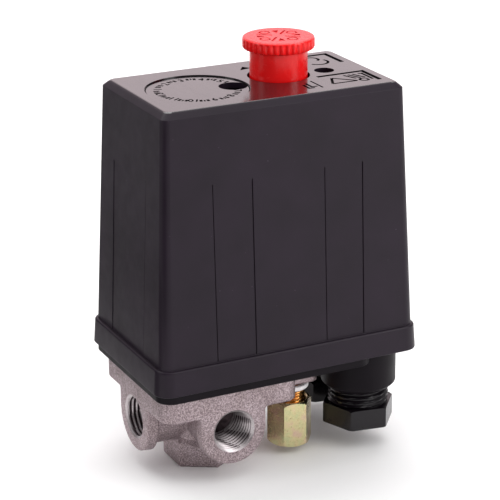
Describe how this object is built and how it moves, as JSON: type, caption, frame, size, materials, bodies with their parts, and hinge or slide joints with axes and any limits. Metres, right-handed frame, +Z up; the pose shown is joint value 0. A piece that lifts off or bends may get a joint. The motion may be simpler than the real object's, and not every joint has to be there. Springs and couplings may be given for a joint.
{
  "type": "air compressor pressure switch",
  "caption": "Air compressor pressure switch: black tapered cover with red push-pull knob, die-cast manifold with threaded ports, unloader valve with hex nut and side-by-side cable glands.",
  "frame": {"origin": "centre of the bottom port's mouth, on the lower face of the hex foot", "axes": "+Z up along the bottom port's axis and the knob's travel, +X along the housing towards the cable glands, -Y the front, where the unloader valve is"},
  "size_m": [0.0868, 0.0546, 0.1286],
  "materials": {
    "cover_plastic": "moulded black with a polished top",
    "base_plastic": "fine matt moulded black",
    "knob_plastic": "glossy red",
    "cast_aluminium": "grainy die-cast skin",
    "plated_steel": "bright zinc plate",
    "spring_steel": "drawn wire",
    "yellow_zinc": "yellow passivated zinc on steel",
    "turned_brass": "turned",
    "contact_copper": "stamped",
    "black_rubber": "matt",
    "brown_phenolic": "moulded",
    "natural_nylon": "translucent white"
  },
  "bodies": {
    "housing": {"cover": "cover_plastic", "base_frame": "base_plastic", "manifold": "cast_aluminium", "mechanism_frame": "plated_steel", "lever_pivot_pin": "plated_steel", "trip_lever_pin": "plated_steel", "manifold_screw_1": "plated_steel", "manifold_screw_2": "plated_steel", "manifold_screw_3": "plated_steel", "manifold_screw_4": "plated_steel", "cover_screw_1": "plated_steel", "cover_screw_2": "plated_steel", "main_spring": "spring_steel", "differential_spring": "spring_steel", "unloader_spring": "spring_steel", "unloader_body": "turned_brass", "terminal_screw_1": "turned_brass", "terminal_screw_2": "turned_brass", "terminal_screw_3": "turned_brass", "terminal_screw_4": "turned_brass", "earth_screw_1": "turned_brass", "earth_screw_2": "turned_brass", "fixed_contact_1": "contact_copper", "fixed_contact_2": "contact_copper", "fixed_contact_3": "contact_copper", "fixed_contact_4": "contact_copper", "diaphragm": "black_rubber", "gland_seal_front": "black_rubber", "gland_seal_rear": "black_rubber", "terminal_block": "brown_phenolic", "unloader_washer": "natural_nylon"},
    "knob_body": {"knob": "knob_plastic", "knob_rod": "plated_steel"},
    "trip_lever_body": {"trip_lever": "plated_steel"},
    "piston_body": {"piston": "plated_steel"},
    "pressure_lever_body": {"pressure_lever": "plated_steel"},
    "contact_carrier_body": {"contact_carrier": "brown_phenolic", "moving_contact_front": "contact_copper", "moving_contact_rear": "contact_copper"},
    "unloader_pin_body": {"unloader_pin": "plated_steel"},
    "main_seat_body": {"main_spring_seat": "plated_steel"},
    "main_screw_body": {"main_adjusting_screw": "plated_steel"},
    "differential_seat_body": {"differential_spring_seat": "plated_steel"},
    "differential_screw_body": {"differential_adjusting_screw": "plated_steel"},
    "gland_front_ring_body": {"gland_ring_front": "plated_steel"},
    "gland_front_nut_body": {"gland_nut_front": "base_plastic"},
    "gland_rear_ring_body": {"gland_ring_rear": "plated_steel"},
    "gland_rear_nut_body": {"gland_nut_rear": "base_plastic"},
    "unloader_ferrule_body": {"unloader_ferrule": "turned_brass"},
    "unloader_nut_body": {"unloader_nut": "yellow_zinc"}
  },
  "joints": [
    {"name": "knob_push", "type": "slide", "parent": "housing", "child": "knob_body", "axis": [0, 0, 1], "range_m": [-0.004, 0]},
    {"name": "trip_lever_tilt", "type": "hinge", "parent": "housing", "child": "trip_lever_body", "pos_m": [0.036, 0, 0.066], "axis": [0, 1, 0], "range_deg": [-32, 0.5]},
    {"name": "piston_stroke", "type": "slide", "parent": "housing", "child": "piston_body", "axis": [0, 0, 1], "range_m": [0, 0.0008], "stiffness_N_per_m": 600, "springref_m": -0.0015},
    {"name": "pressure_lever_tilt", "type": "hinge", "parent": "housing", "child": "pressure_lever_body", "pos_m": [-0.015, 0, 0.047], "axis": [0, 1, 0], "range_deg": [-3.1, 0.05]},
    {"name": "contact_carrier_lift", "type": "slide", "parent": "housing", "child": "contact_carrier_body", "axis": [0, 0, 1], "range_m": [-0.0001, 0.0032]},
    {"name": "unloader_pin_lift", "type": "slide", "parent": "housing", "child": "unloader_pin_body", "axis": [0, 0, 1], "range_m": [-0.0001, 0.0023], "deforming": ["unloader_spring"]},
    {"name": "main_seat_travel", "type": "slide", "parent": "housing", "child": "main_seat_body", "axis": [0, 0, 1], "range_m": [-0.004, 0], "deforming": ["main_spring"]},
    {"name": "main_adjust_turn", "type": "hinge", "parent": "main_seat_body", "child": "main_screw_body", "pos_m": [0.0108, -0.0023, 0], "axis": [0, 0, 1], "range_deg": [-1444, 4]},
    {"name": "differential_seat_travel", "type": "slide", "parent": "housing", "child": "differential_seat_body", "axis": [0, 0, 1], "range_m": [-0.003, 0], "deforming": ["differential_spring"]},
    {"name": "differential_adjust_turn", "type": "hinge", "parent": "differential_seat_body", "child": "differential_screw_body", "pos_m": [0.0421, 0, 0], "axis": [0, 0, 1], "range_deg": [-1354, 4]},
    {"name": "gland_front_travel", "type": "slide", "parent": "housing", "child": "gland_front_ring_body", "axis": [0, 0, 1], "range_m": [-0.003, 0.00225]},
    {"name": "gland_front_turn", "type": "hinge", "parent": "gland_front_ring_body", "child": "gland_front_nut_body", "pos_m": [0.04805, -0.0123, 0], "axis": [0, 0, 1], "range_deg": [-724, 544]},
    {"name": "gland_rear_travel", "type": "slide", "parent": "housing", "child": "gland_rear_ring_body", "axis": [0, 0, 1], "range_m": [-0.003, 0.00225]},
    {"name": "gland_rear_turn", "type": "hinge", "parent": "gland_rear_ring_body", "child": "gland_rear_nut_body", "pos_m": [0.04805, 0.0123, 0], "axis": [0, 0, 1], "range_deg": [-724, 544]},
    {"name": "unloader_nut_travel", "type": "slide", "parent": "housing", "child": "unloader_ferrule_body", "axis": [0, 0, 1], "range_m": [-0.0025, 0]},
    {"name": "unloader_nut_turn", "type": "hinge", "parent": "unloader_ferrule_body", "child": "unloader_nut_body", "pos_m": [0.0259, -0.0086, 0], "axis": [0, 0, 1], "range_deg": [-904, 4]}
  ],
  "couplings": [
    {"joint": "trip_lever_tilt", "follows": "knob_push", "rad_per_m": 137.5},
    {"joint": "pressure_lever_tilt", "follows": "piston_stroke", "rad_per_m": -66.667},
    {"joint": "contact_carrier_lift", "follows": "piston_stroke", "ratio": 3.8667},
    {"joint": "unloader_pin_lift", "follows": "piston_stroke", "ratio": 2.7267},
    {"joint": "main_adjust_turn", "follows": "main_seat_travel", "rad_per_m": 6283.2},
    {"joint": "differential_adjust_turn", "follows": "differential_seat_travel", "rad_per_m": 7854},
    {"joint": "gland_front_turn", "follows": "gland_front_travel", "rad_per_m": 4188.8},
    {"joint": "gland_rear_turn", "follows": "gland_rear_travel", "rad_per_m": 4188.8},
    {"joint": "unloader_nut_turn", "follows": "unloader_nut_travel", "rad_per_m": 6283.2}
  ]
}
